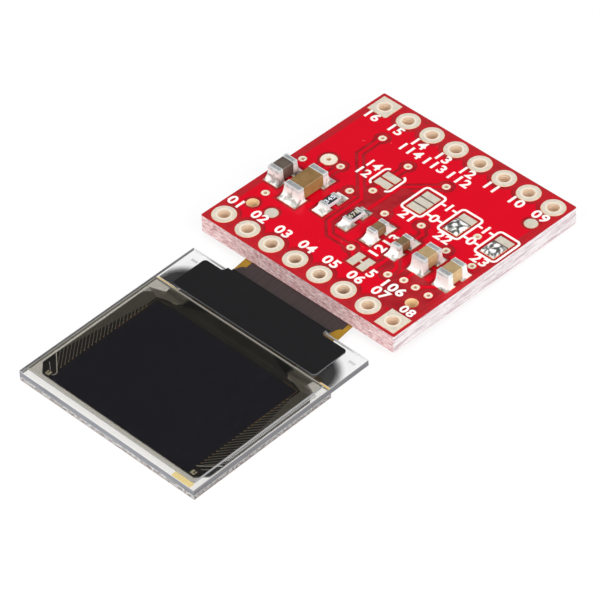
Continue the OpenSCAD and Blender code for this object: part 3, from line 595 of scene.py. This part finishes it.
def dress_chip_parts():
    dress([n for n in frame["nodes"] if n.endswith("_ends")], terminal_material())
    for nodes, name, base, dark in (
            (["capacitor_1"], "ceramic_grey", srgb(112, 98, 88), srgb(92, 80, 72)),
            (["capacitor_2"], "ceramic_olive", srgb(164, 128, 78), srgb(144, 110, 62)),
            (["capacitor_3", "capacitor_4"], "ceramic_brown",
             srgb(150, 120, 84), srgb(124, 98, 66)),
            (["capacitor_5", "capacitor_6"], "ceramic_tan",
             srgb(206, 178, 132), srgb(188, 158, 112)),
            (["resistor_1", "resistor_2"], "alumina",
             srgb(236, 234, 236), srgb(214, 210, 214))):
        dress(nodes, ceramic_material(name, base, dark))
    dress(["resistor_1_coat", "resistor_2_coat"], clouded(
        "resistor_coat", 2600, srgb(30, 30, 34), srgb(44, 44, 48), 0.3))


def dress_panel():
    dress(["front_glass"], glass_material("front_glass", LEDGE_Z, PANEL_Z, 0.0))
    dress(["cap_glass"], glass_material("cap_glass", 0, CAP[1].z, 1.0))
    dress(["edge_seal"], clear_material("clear_glue", (0.99, 0.985, 0.965, 1), WHITE))
    dress(["edge_patch"], clear_material("amber_glue", (0.96, 0.86, 0.58, 1), (1, 0.95, 0.8, 1)))
    dress(["polarizer"], polarizer_material())
    dress(["getter_sheet"], clouded(
        "drying_sheet", 2000, srgb(10, 10, 12), srgb(20, 20, 20), 0.8, detail=4))
    dress(["active_field"], field_material())
    for node, name, a, b in (
            ("row_tracks", "row_metal", srgb(132, 127, 122), srgb(146, 141, 135)),
            ("column_tracks", "column_metal", srgb(76, 74, 68), srgb(90, 88, 80)),
            ("alignment_marks", "mark_metal", srgb(240, 226, 190), srgb(250, 244, 226)),
            ("film_contacts", "contact_gold", srgb(228, 190, 110), srgb(206, 166, 86))):
        dress([node], track_material(name, a, b))
    dress(["driver_chip"], clouded("silicon", 2000, srgb(60, 60, 66), srgb(84, 84, 90), 0.2))
    dress(["bond_strip"], clouded("bond", 2000, srgb(150, 120, 60), srgb(120, 94, 44), 0.4))
    dress(["film_base"], clouded("amber_film", 900, srgb(178, 138, 42), srgb(150, 112, 26), 0.22,
                                 Transmission_Weight=0.25))
    dress(["film_cover"], cover_material())
    dress(["black_tape"], tape_material())


# ---- new pieces ----

HAIR = 0.001                # thickness of a printed layer on the glass, in millimetres
UNDER_GLASS = LEDGE_Z - 0.002
ABOVE_CAP = CAP[1].z + 0.001


def add(piece):
    """Bring a new piece into the scene, on the part's one body."""
    bpy.context.scene.collection.objects.link(piece)
    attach(piece, "root")


def flat_piece(name, outlines, z, mat, thickness=HAIR, place=PANEL):
    """Thin plates with these outlines, in the panel's places or the board's, in millimetres."""
    points, faces = [], []
    for outline in outlines:
        first, n = len(points), len(outline)
        for level in (z, z + thickness):
            points += [place @ Vector((x * MM, y * MM, level * MM)) for x, y in outline]
        faces.append(tuple(range(first + n - 1, first - 1, -1)))
        faces.append(tuple(range(first + n, first + 2 * n)))
        faces += [(first + i, first + (i + 1) % n, first + n + (i + 1) % n, first + n + i)
                  for i in range(n)]
    mesh = bpy.data.meshes.new(name)
    mesh.from_pydata(points, [], faces)
    mesh.materials.append(mat.mat)
    add(bpy.data.objects.new(name, mesh))


def bar(a, b, width):
    """Outline of a straight line from a to b."""
    a, b = Vector(a), Vector(b)
    side = (b - a).orthogonal().normalized() * width / 2
    return [tuple(a + side), tuple(a - side), tuple(b - side), tuple(b + side)]


def line(points, width):
    """Outlines of a line through these points."""
    return [bar(a, b, width) for a, b in zip(points, points[1:])]


def mirrored(outlines):
    return [[(-x, y) for x, y in reversed(outline)] for outline in outlines]


# ---- fine layers on the glass ----

TRACK_STARTS, TRACK_STEP = 24, 0.4
RUNGS, RUNG_STEP = 58, 0.16
# the far strip holds painted light and shade as well as leads
STRIP_NEAR = 12.9           # where the far strip of leads begins
STRIP_T = 0.0004
# a grey for painted highlights on edges, also used for the ledge's tiny marks
SOFT_ARRIS = Mat("soft_arris", srgb(160, 158, 152), 0.3)


def field_details():
    """Lead lines, the field's outline, gold dots and a ladder of fine rungs."""
    silver = track_material("lead_metal", srgb(236, 234, 230), srgb(250, 250, 250))
    gold = track_material("gold_metal", srgb(180, 138, 80), srgb(206, 164, 104))
    brown = track_material("outline_metal", srgb(116, 90, 56), srgb(138, 108, 68))
    leads = line([(-8.83, 3.35), (-7.53, 2.2), (-7.2, 1.9), (-7.2, 1.62), (-7.34, 1.5)], 0.07)
    leads += line([(-8.5, 2.35), (-7.75, 1.75)], 0.04)
    leads += line([(8.8, 3.32), (7.6, 2.22), (7.36, 2.1)], 0.06)
    leads += line([(8.45, 2.5), (7.9, 2.02)], 0.04)
    flat_piece("corner_leads", leads, UNDER_GLASS, silver)

    low, high = FIELD
    margin = 0.03
    left, right, far = low.x - margin, high.x + margin, high.y + margin
    outline = line([(left, low.y + 7), (left, far), (left + 1.2, far)], 0.05)
    outline += line([(right - 1.6, far), (right, far), (right, low.y + 6)], 0.05)
    flat_piece("field_outline", outline, UNDER_GLASS, brown)
    starts = []
    for i in range(TRACK_STARTS):
        y = low.y + 0.9 + TRACK_STEP * i
        starts += [bar((s * (high.x + 0.02), y), (s * (high.x + 0.13), y), 0.06)
                   for s in (-1, 1)]
    flat_piece("track_starts", starts, UNDER_GLASS + HAIR, gold)

    inner_rail, outer_rail, ladder_y, ladder_end = 8.42, 8.7, 3.8, 13.2
    rungs = [bar((8.44, ladder_y + RUNG_STEP * i), (8.66, ladder_y + RUNG_STEP * i), 0.05)
             for i in range(RUNGS)]
    rungs += line([(inner_rail, 3.7), (inner_rail, ladder_end), (outer_rail, ladder_end),
                   (outer_rail, 3.9)], 0.035)
    flat_piece("ladder", rungs, UNDER_GLASS, silver)


def far_strip():
    """Painted light and shade between the field and the glue: grey at both ends as painted light,
    black as a painted reflection of the tape, then olive over the leads' fan-out, darkened as
    painted shade.
    """
    near, far = STRIP_NEAR, CAP_L
    black = Mat("black_painted_reflection", srgb(14, 14, 16), 0.5)
    grey = track_material("grey_painted_light", srgb(150, 146, 138), srgb(170, 166, 156))
    olive = track_material("olive_leads_and_shade", srgb(40, 39, 34), srgb(50, 49, 42))
    joint = [(-5.9, near), (-5.6, 13.4), (-5.7, far)]
    grey_end = [(-7.6, far), (-7.45, 13.3), (-6.9, near)] + joint
    black_end = joint[::-1]
    # painted light and reflection: grey ends and a black middle under the glass
    flat_piece("grey_painted_light", [grey_end] + mirrored([grey_end]), ABOVE_CAP, grey, STRIP_T)
    flat_piece("black_painted_reflection", [black_end + mirrored([black_end])[0]], ABOVE_CAP, black, STRIP_T)
    # olive over the leads' fan-out, darkened as painted shade
    flat_piece("olive_leads_and_shade", [[(-4.4, near), (4.4, near), (3.2, far), (-3.2, far)]],
               ABOVE_CAP + 0.0006, olive, STRIP_T)


def ledge_shadow():
    """Painted shadow on the ledge at both ends of the tape, fading out in an arc."""
    arc_x, arc_y, aside = 6.7, 14.35, 0.1
    fade_from, fade_to = 1.7, 2.9
    m = Mat("ledge_shadow", srgb(26, 26, 28), 0.6)
    x = m.minus(m.dot(ACROSS), PANEL_X * MM)
    x = m.minus(m.math("ABSOLUTE", m.plus(x, aside * MM)), arc_x * MM)
    y = m.minus(m.dot(ALONG), (PANEL_Y + arc_y) * MM)
    reach = m.math("SQRT", m.plus(m.times(x, x), m.times(y, y)))
    gone = m.ramp(reach, fade_from * MM, fade_to * MM)
    m.pass_light(m.blend(gone, m.shader.outputs[0], m.clear(WHITE)), (0.9, 0.9, 0.9, 1))
    near, far = CAP_L + 0.2, CAP_L + 3.2
    inner, outer = TAPE[1].x - 0.4, HALF_W - 0.1
    right = [(inner, near), (outer, near), (outer, far), (inner, far)]
    # painted shadow: dark sheets under the ledge, fading out in an arc
    flat_piece("ledge_shadow", [right] + mirrored([right]), LEDGE_Z - 0.03, m, 0.02)


def glue_and_ticks():
    """Glue squeezed out along the cap's far edge, a dark sheet of painted shade between its two
    runs, and bars for the ledge's tiny marks.
    """
    amber = Mat("edge_glue", srgb(226, 190, 110), 0.25)
    brown = Mat("dark_painted_shade", srgb(72, 58, 38), 0.35)
    bottom, tall = LEDGE_Z - 0.1, 0.09
    y, shade_y, end = CAP_L + 0.08, CAP_L + 0.28, HALF_W - 0.1
    dark_from, dark_to = -6.9, 8.0
    flat_piece("glue_line", line([(-end, y), (dark_from, y)], 0.16)
               + line([(dark_to, y), (end, y)], 0.16), bottom, amber, tall)
    # painted shade: a dark brown sheet behind the leads between the two glue runs
    flat_piece("backing_painted_shade", line([(dark_from, shade_y), (dark_to, shade_y)], 0.5),
               bottom, brown, tall)
    tick_x, tick_step = HALF_W - 0.9, 0.13
    near, far = LENGTH - 0.95, LENGTH - 0.72
    ticks = [bar((s * tick_x + tick_step * i, near), (s * tick_x + tick_step * i, far), 0.06)
             for s in (-1, 1) for i in range(-2, 3)]
    flat_piece("ledge_ticks", ticks, UNDER_GLASS, SOFT_ARRIS)


def polarizer_arrises():
    """Bright strips along the polarizer's edges: painted highlights where they catch the light.
    """
    low, high = POLARIZER
    gap = 0.003
    bottom, tall = PANEL_Z + gap, high.z - PANEL_Z - gap
    side, back, front = high.x + 0.03, high.y + 0.02, low.y - 0.02
    # painted highlights: bright strips along the polarizer's edges
    for name, outlines, mat in (
            ("polarizer_arris", line([(side, low.y), (side, high.y + 0.05)], 0.035),
             Mat("bright_arris", srgb(150, 150, 152), 0.3)),
            ("polarizer_far_arris", line([(low.x, back), (high.x, back)], 0.03),
             Mat("white_arris", srgb(206, 204, 200), 0.3)),
            ("polarizer_near_arris", line([(low.x, front), (high.x, front)], 0.04)
             + line([(low.x - 0.02, low.y), (low.x - 0.02, high.y)], 0.04), SOFT_ARRIS)):
        flat_piece(name, outlines, bottom, mat, tall)


def jumper_gaps():
    """Bare brown laminate between the pads of the select jumpers."""
    brown = Mat("bare_gap", srgb(104, 80, 72), 0.7)
    grid, off_row, half, width = 2.54, 0.41, 0.69, 0.13
    outlines = []
    for column in (0.5, 2, 3.5):
        for side in (-1, 1):
            x, y = column * grid, grid + side * off_row
            outlines.append(bar((x - half, y), (x + half, y), width))
    flat_piece("jumper_gaps", outlines, -0.02, brown, 0.017, BOARD)


# ---- printed numbers ----

PRINT_H = 0.92              # height of a printed digit, in millimetres
PRINT_T = 0.012 * MM
DIGIT_SHARE = 0.73          # a digit's height as a share of its font's size
WIDER = 1.12                # how much wider the digits and their gaps are than the font's


def number(text, x, y, height=PRINT_H, turn=0.0, mat=PRINTED, lift=0.0, name="number",
           bold=0.04):
    """A printed number, middle at x and y on the board, in millimetres."""
    height *= MM
    curve = bpy.data.curves.new(name, "FONT")
    curve.body = text
    curve.size = height / DIGIT_SHARE
    curve.align_x = "CENTER"
    curve.align_y = "CENTER"
    curve.offset = bold * height
    curve.extrude = PRINT_T
    curve.space_character = WIDER
    curve.resolution_u = 4
    curve.materials.append(mat.mat)
    # the count of objects is part of the piece's name, so the order of the calls matters
    piece = bpy.data.objects.new("%s_%s" % (name, len(bpy.data.objects)), curve)
    piece.matrix_world = (BOARD @ Matrix.Translation((x * MM, y * MM, lift * MM))
                          @ Matrix.Rotation(turn, 4, "Z") @ Matrix.Diagonal((WIDER, 1, 1, 1)))
    add(piece)


def print_numbers():
    """Plain numbers: 01 to 16 count the header holes, the rest only fill the labels' places."""
    far_row, near_row, second_row, jumper_row = 7.38, -7.3, 6.3, 0.48
    columns = [(i - 3.5) * PITCH / MM for i in range(8)]
    for i, x in enumerate(columns):
        number("%02d" % (16 - i), x, far_row)
        if i < 7:
            number("%02d" % (i + 1), x - 0.3, near_row)
    number("08", columns[7] + 0.08, -7.42, 0.8)
    for i in (2, 3, 4):
        number("%d" % (116 - i), columns[i] + 0.1, second_row)
    for text, x, y in (("5", 4.1, -6.2), ("106", 6.35, -6.25),
                       ("21", 1.5, jumper_row), ("22", 5.2, jumper_row),
                       ("23", 9.0, jumper_row)):
        number(text, x, y)
    number("14", -4.6, 3.1, 0.86)
    number("12", -4.65, 1.98, 0.86)
    for x in (3.17, 6.98):
        number("1", x, 3.35)
        number("0", x, 1.65)
    number("1213", 2.62, -3.2, turn=math.pi / 2)


def resistor_numbers():
    """Plain numbers on the black coats, read along the parts."""
    for node, text, colour in (("resistor_1", "345", srgb(226, 230, 240)),
                               ("resistor_2", "678", srgb(206, 196, 176))):
        low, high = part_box(node + "_coat")
        spot = BOARD.inverted() @ ((low + high) / 2)
        number(text, spot.x / MM, spot.y / MM, 0.42, math.pi / 2, Mat(node + "_ink", colour, 0.5),
               (highest(node + "_coat") - TOP) / MM, "resistor_number", 0.03)


# ---- floor, light and camera ----

LAMP_REACH = 0.5
FLOOR_HALF = 0.6
FLOOR_GAP = 0.02 * MM       # keeps the floor clear of the panel's back
LENS, SENSOR = 246.57, 36   # of the photograph's view
EYE = Vector((165.5, -172.22, 203.62)) * MM
LOOK = Vector((-0.533, 0.5233, -0.6649))
EYE_RIGHT = Vector((0.7124, 0.7015, -0.019))


def area_light(name, energy, size, place):
    """A white lamp that looks at the part's origin."""
    data = bpy.data.lights.new(name, "AREA")
    data.energy = energy
    data.shape = "RECTANGLE"
    data.size, data.size_y = size
    lamp = bpy.data.objects.new(name, data)
    bpy.context.scene.collection.objects.link(lamp)
    lamp.location = place
    lamp.rotation_euler = (-Vector(place)).to_track_quat("-Z", "Y").to_euler()


def polar(azimuth, elevation, distance):
    a, e = math.radians(azimuth), math.radians(elevation)
    return (distance * math.cos(e) * math.cos(a), distance * math.cos(e) * math.sin(a),
            distance * math.sin(e))


def studio():
    world = bpy.data.worlds.new("studio")
    bpy.context.scene.world = world
    world.use_nodes = True
    world.node_tree.nodes["Background"].inputs["Color"].default_value = WHITE
    world.node_tree.nodes["Background"].inputs["Strength"].default_value = 0.3
    area_light("key", 2.1, (0.35, 0.35), polar(-5, 34, LAMP_REACH))
    area_light("front", 1.2, (0.4, 0.3), polar(-100, 35, LAMP_REACH))
    area_light("top", 1.1, (0.25, 0.25), (0.05, -0.05, 0.6))


def pale_floor():
    """Matte and white, and a little self-lit to the camera."""
    half, level = FLOOR_HALF, cad_box[0][2] - FLOOR_GAP
    mesh = bpy.data.meshes.new("floor")
    mesh.from_pydata([(-half, -half, level), (half, -half, level), (half, half, level),
                      (-half, half, level)], [], [(0, 1, 2, 3)])
    floor = bpy.data.objects.new("floor", mesh)
    bpy.context.scene.collection.objects.link(floor)
    m = Mat("white_floor", (0.92, 0.92, 0.92, 1), 0.9)
    path = m.node("ShaderNodeLightPath")
    seen = m.math("MAXIMUM", path.outputs["Is Camera Ray"], path.outputs["Is Glossy Ray"])
    glow = m.node("ShaderNodeEmission").outputs[0]
    m.surface(m.blend(m.times(seen, 0.85), m.shader.outputs[0], glow))
    mesh.materials.append(m.mat)


def camera():
    """The photograph's view, placed in the board's own axes."""
    data = bpy.data.cameras.new("camera")
    data.lens = LENS
    data.sensor_width = SENSOR
    data.clip_start = 0.01
    eye = bpy.data.objects.new("camera", data)
    bpy.context.scene.collection.objects.link(eye)
    forward = LOOK.normalized()
    right = (EYE_RIGHT - EYE_RIGHT.dot(forward) * forward).normalized()
    turn = Matrix((right, right.cross(forward), -forward)).transposed().to_4x4()
    turn.translation = EYE
    eye.matrix_world = BOARD @ turn
    bpy.context.scene.camera = eye


def main():
    dress_board()
    dress_chip_parts()
    dress_panel()
    field_details()
    far_strip()
    ledge_shadow()
    glue_and_ticks()
    polarizer_arrises()
    print_numbers()
    resistor_numbers()
    jumper_gaps()
    studio()
    pale_floor()
    camera()
    bpy.context.scene.view_settings.view_transform = "Standard"


main()
